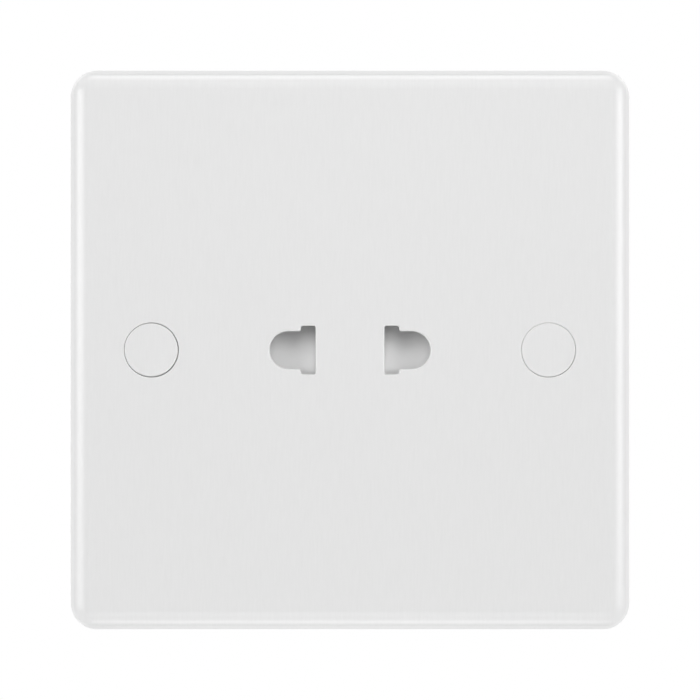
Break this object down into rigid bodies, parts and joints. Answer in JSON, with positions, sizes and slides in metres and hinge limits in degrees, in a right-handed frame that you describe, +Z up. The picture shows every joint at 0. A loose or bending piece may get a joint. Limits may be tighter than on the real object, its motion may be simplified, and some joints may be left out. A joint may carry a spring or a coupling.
{
  "type": "euro wall socket",
  "caption": "Square moulded wall socket plate with shuttered plug slots, capped fixing screws, and a rear housing with spring contacts and screw terminals.",
  "frame": {"origin": "centre of the plate's rim, on the wall", "axes": "+X right seen from the front, +Y into the wall, +Z up; the face looks along -Y"},
  "size_m": [0.086, 0.031, 0.086],
  "materials": {
    "white_moulding": "polished moulded thermoset",
    "shutter_plastic": "moulded, satin",
    "insulator": "moulded, matt",
    "contact_strip": "rolled spring strip, stamped",
    "terminal_brass": "sawn from drawn bar",
    "plated_brass": "turned",
    "plated_steel": "bright zinc plate",
    "spring_steel": "drawn wire"
  },
  "bodies": {
    "socket": {"front_plate": "white_moulding", "screw_cap_left": "white_moulding", "screw_cap_right": "white_moulding", "fixing_screws": "plated_steel", "shutter_spring": "spring_steel", "contact_retainer": "insulator", "live_contact": "contact_strip", "neutral_contact": "contact_strip", "live_terminal": "terminal_brass", "neutral_terminal": "terminal_brass", "terminal_screws": "plated_brass", "rear_housing": "insulator", "housing_screws": "plated_steel"},
    "shutter": {"shutter": "shutter_plastic"}
  },
  "joints": [
    {"name": "shutter_slide", "type": "slide", "parent": "socket", "child": "shutter", "axis": [0, 0, -1], "range_m": [0, 0.00785], "stiffness_N_per_m": 60, "springref_m": -0.006, "deforming": ["shutter_spring"]}
  ]
}
